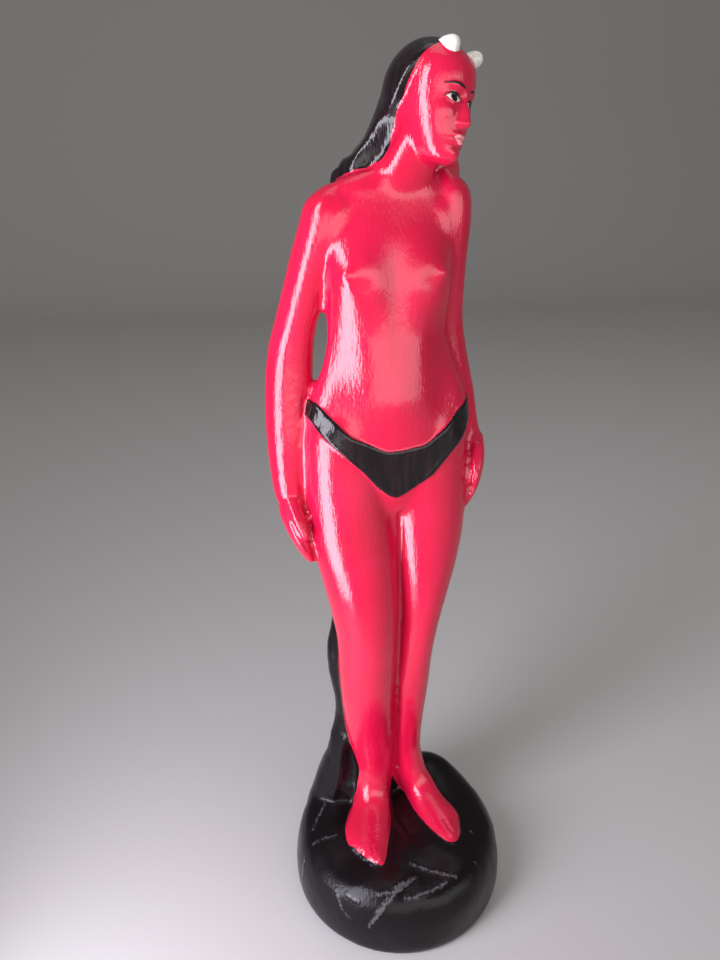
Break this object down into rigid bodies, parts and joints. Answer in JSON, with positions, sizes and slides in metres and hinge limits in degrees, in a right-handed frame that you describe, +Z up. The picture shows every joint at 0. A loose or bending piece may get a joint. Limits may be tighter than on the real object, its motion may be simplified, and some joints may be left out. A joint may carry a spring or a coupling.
{
  "type": "figurine",
  "caption": "Slim painted plaster figurine of a standing bare-breasted woman with long hair, small horns and a low band at the hips, barefoot on a rounded rock.",
  "frame": {"origin": "middle of the rock's flat underside, on the table", "axes": "+Z up through the figure, -Y the way her chest faces, +X towards her left hand"},
  "size_m": [0.071, 0.0684, 0.251],
  "materials": {
    "painted_plaster": "gloss enamel over cast plaster: red skin, black hair, band and rock, white horns"
  },
  "bodies": {
    "root": {"figurine": "painted_plaster"}
  },
  "joints": []
}
